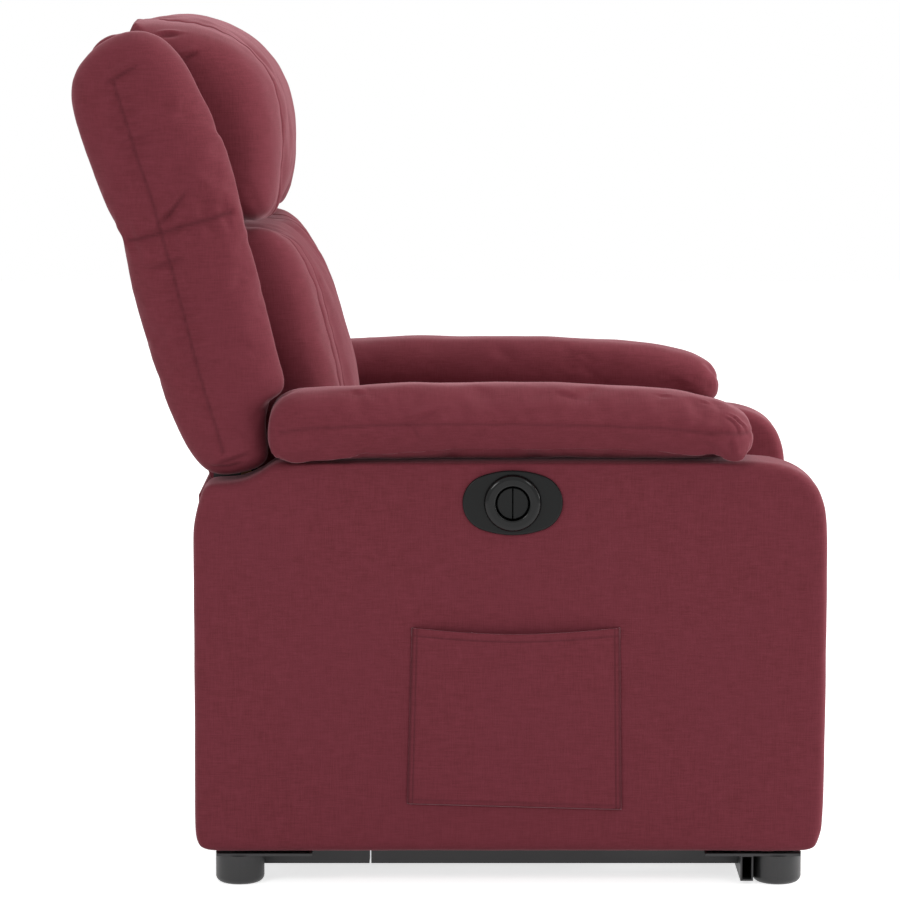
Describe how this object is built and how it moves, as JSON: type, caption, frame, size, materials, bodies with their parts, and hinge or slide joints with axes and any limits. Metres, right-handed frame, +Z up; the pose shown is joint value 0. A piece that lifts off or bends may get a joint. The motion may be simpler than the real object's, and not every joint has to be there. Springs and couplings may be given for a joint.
{
  "type": "lift recliner chair",
  "caption": "Upholstered lift recliner chair: steel lifting base, reclining back, folding footrest, padded arms, side pocket and a round two-way control.",
  "frame": {"origin": "on the floor, centred under the chair's overall width and depth", "axes": "+Z up, +X to the occupant's left, -Y towards the front; shown closed and upright"},
  "size_m": [0.74, 0.8804, 1.0202],
  "materials": {
    "upholstery": "woven, slubbed",
    "webbing": "woven elastic strap",
    "timber": "sawn plywood",
    "black_steel": "powder coat, satin",
    "zinc_steel": "zinc plated",
    "rod_steel": "ground, satin",
    "motor_plastic": "moulded, fine grain",
    "foot_plastic": "moulded, satin",
    "nylon": "moulded nylon",
    "control_plastic": "moulded, fine grain",
    "control_gloss": "polished mould",
    "cable_sheath": "extruded sheath"
  },
  "bodies": {
    "base_frame": {"side_rail_front_left": "black_steel", "side_rail_front_right": "black_steel", "side_rail_rear_left": "black_steel", "side_rail_rear_right": "black_steel", "front_cross_tube": "black_steel", "mid_cross_tube": "black_steel", "rear_cross_tube": "black_steel", "corner_plates": "black_steel", "feet": "foot_plastic", "foot_bolts": "zinc_steel", "pivot_tower_left": "black_steel", "pivot_tower_right": "black_steel", "base_pins": "zinc_steel"},
    "lower_link_pair": {"lower_link_left": "black_steel", "lower_link_right": "black_steel", "torque_tube": "black_steel"},
    "upper_link_pair": {"upper_links": "black_steel"},
    "lift_motor_body": {"lift_motor": "motor_plastic"},
    "lift_rod_body": {"lift_rod": "rod_steel"},
    "chair_frame": {"side_plate_left": "black_steel", "side_plate_right": "black_steel", "chair_cross_tubes": "black_steel", "seat_glides": "nylon", "chair_pins": "zinc_steel", "arm_panel_left": "upholstery", "arm_panel_right": "upholstery", "arm_frame_left": "timber", "arm_frame_right": "timber", "arm_pad_left": "upholstery", "arm_pad_right": "upholstery", "side_pocket": "upholstery", "rear_valance": "upholstery", "control_box": "motor_plastic", "control_plate": "control_plastic", "control_ring": "control_gloss", "switch_housing": "motor_plastic", "switch_lead": "cable_sheath"},
    "recline_button_body": {"recline_button": "control_plastic"},
    "lift_button_body": {"lift_button": "control_plastic"},
    "seat": {"seat_frame": "black_steel", "seat_webbing": "webbing", "seat_cushion": "upholstery"},
    "back": {"back_arm_plates": "black_steel", "back_frame": "timber", "back_shell": "upholstery", "back_wing_left": "upholstery", "back_wing_right": "upholstery", "lumbar_cushion": "upholstery", "head_pillow": "upholstery"},
    "thigh_link_pair": {"thigh_links": "black_steel"},
    "second_link_pair": {"second_links": "black_steel"},
    "shin_link_pair": {"shin_links": "black_steel"},
    "pad_link_pair": {"pad_links": "black_steel"},
    "footrest": {"pad_brackets": "black_steel", "footrest_board": "timber", "footrest_pad": "upholstery"},
    "recline_motor_body": {"recline_motor": "motor_plastic"},
    "recline_rod_body": {"recline_rod": "rod_steel"}
  },
  "joints": [
    {"name": "lift", "type": "hinge", "parent": "base_frame", "child": "lower_link_pair", "pos_m": [0, -0.19689, 0.07263], "axis": [1, 0, 0], "range_deg": [0, 55.15]},
    {"name": "chair_tilt", "type": "hinge", "parent": "lower_link_pair", "child": "chair_frame", "pos_m": [0, 0.13722, 0.07406], "axis": [1, 0, 0], "range_deg": [-31.47, 0]},
    {"name": "upper_link", "type": "hinge", "parent": "base_frame", "child": "upper_link_pair", "pos_m": [0, -0.17997, 0.13219], "axis": [1, 0, 0], "range_deg": [0, 50.61]},
    {"name": "lift_motor_pivot", "type": "hinge", "parent": "base_frame", "child": "lift_motor_body", "pos_m": [0, -0.17664, 0.05808], "axis": [1, 0, 0], "range_deg": [0, 43.14]},
    {"name": "lift_rod_slide", "type": "slide", "parent": "lift_motor_body", "child": "lift_rod_body", "axis": [0, 0.6119, 0.7909], "range_m": [0, 0.14223]},
    {"name": "back_recline", "type": "hinge", "parent": "chair_frame", "child": "back", "pos_m": [0, 0.268, 0.508], "axis": [-1, 0, 0], "range_deg": [0, 35]},
    {"name": "seat_slide", "type": "slide", "parent": "chair_frame", "child": "seat", "axis": [0, -1, 0], "range_m": [0, 0.07505]},
    {"name": "footrest", "type": "hinge", "parent": "seat", "child": "thigh_link_pair", "pos_m": [0, -0.20164, 0.31715], "axis": [-1, 0, 0], "range_deg": [0, 75.79]},
    {"name": "second_link", "type": "hinge", "parent": "seat", "child": "second_link_pair", "pos_m": [0, -0.13263, 0.32376], "axis": [-1, 0, 0], "range_deg": [0, 75.16]},
    {"name": "shin_link", "type": "hinge", "parent": "thigh_link_pair", "child": "shin_link_pair", "pos_m": [0, -0.15268, 0.09168], "axis": [1, 0, 0], "range_deg": [0, 88.24]},
    {"name": "pad_link", "type": "hinge", "parent": "thigh_link_pair", "child": "pad_link_pair", "pos_m": [0, -0.13386, 0.13408], "axis": [1, 0, 0], "range_deg": [0, 87.14]},
    {"name": "pad_bracket", "type": "hinge", "parent": "shin_link_pair", "child": "footrest", "pos_m": [0, -0.34351, 0.24243], "axis": [-1, 0, 0], "range_deg": [0, 102.46]},
    {"name": "recline_motor_pivot", "type": "hinge", "parent": "seat", "child": "recline_motor_body", "pos_m": [0, 0.01716, 0.20247], "axis": [-1, 0, 0], "range_deg": [0, 15.42]},
    {"name": "recline_rod_slide", "type": "slide", "parent": "recline_motor_body", "child": "recline_rod_body", "axis": [0, -0.9977, 0.0684], "range_m": [0, 0.09506]},
    {"name": "recline_button_press", "type": "slide", "parent": "chair_frame", "child": "recline_button_body", "axis": [1, 0, 0], "range_m": [0, 0.0015], "stiffness_N_per_m": 900},
    {"name": "lift_button_press", "type": "slide", "parent": "chair_frame", "child": "lift_button_body", "axis": [1, 0, 0], "range_m": [0, 0.0015], "stiffness_N_per_m": 900}
  ],
  "couplings": [
    {"joint": "chair_tilt", "follows": "lift", "ratio": -0.5702},
    {"joint": "upper_link", "follows": "lift", "ratio": 0.9174},
    {"joint": "lift_motor_pivot", "follows": "lift", "ratio": 0.78193},
    {"joint": "lift_rod_slide", "follows": "lift", "m_per_rad": 0.14771},
    {"joint": "seat_slide", "follows": "back_recline", "m_per_rad": 0.12278},
    {"joint": "second_link", "follows": "footrest", "ratio": 0.99149},
    {"joint": "shin_link", "follows": "footrest", "ratio": 1.1641},
    {"joint": "pad_link", "follows": "footrest", "ratio": 1.1496},
    {"joint": "pad_bracket", "follows": "footrest", "ratio": 1.3516},
    {"joint": "recline_motor_pivot", "follows": "footrest", "ratio": 0.20319},
    {"joint": "recline_rod_slide", "follows": "footrest", "m_per_rad": 0.071827}
  ]
}
